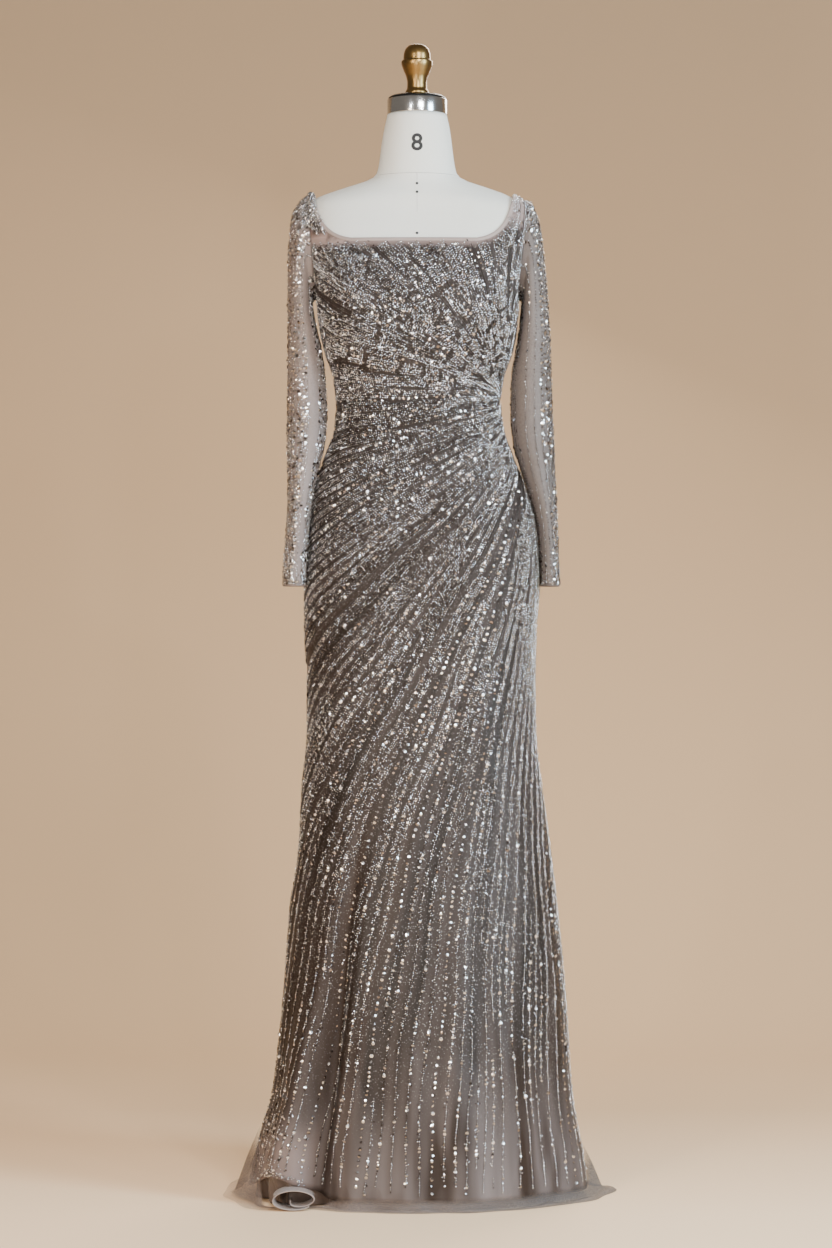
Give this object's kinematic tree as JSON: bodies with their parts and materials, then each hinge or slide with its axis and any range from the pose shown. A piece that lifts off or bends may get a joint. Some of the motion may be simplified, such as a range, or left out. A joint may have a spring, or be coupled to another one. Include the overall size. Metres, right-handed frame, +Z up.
{
  "type": "evening gown on dress form",
  "caption": "Floor-length beaded evening gown with long net sleeves and a wide scoop neck, worn by a limbless dress form on a round stand.",
  "frame": {"origin": "centre of the round base's underside, on the floor under the pole", "axes": "+Z up along the pole, -Y out of the gown's front, +X to the viewer's right"},
  "size_m": [0.5983, 0.4969, 1.719],
  "materials": {
    "beaded_net": "taupe mauve satin under net, thickly beaded in silver",
    "sheer_net": "sheer taupe net, partly see-through",
    "satin": "soft satin in taupe mauve",
    "canvas": "off-white woven cotton cover, matt",
    "chrome": "polished",
    "gilt_metal": "worn gold, half gloss",
    "stand_metal": "black enamel",
    "zip_metal": "taupe enamel to match the cloth"
  },
  "bodies": {
    "gown_on_form": {"gown_front": "beaded_net", "gown_back_left": "beaded_net", "gown_back_right": "beaded_net", "sleeve_left": "sheer_net", "sleeve_right": "sheer_net", "neck_binding": "satin", "net_hem": "sheer_net", "lining_roll": "satin", "zip_slider": "zip_metal", "form_torso": "canvas", "form_neck_plate": "chrome", "form_knob": "gilt_metal", "form_pole": "stand_metal", "form_collar": "stand_metal", "form_base": "stand_metal"},
    "zip_pull": {"zip_pull": "zip_metal"}
  },
  "joints": [
    {"name": "zip_pull_hinge", "type": "hinge", "parent": "gown_on_form", "child": "zip_pull", "pos_m": [0, 0.09631, 1.42072], "axis": [1, 0, 0], "range_deg": [0, 150]}
  ]
}
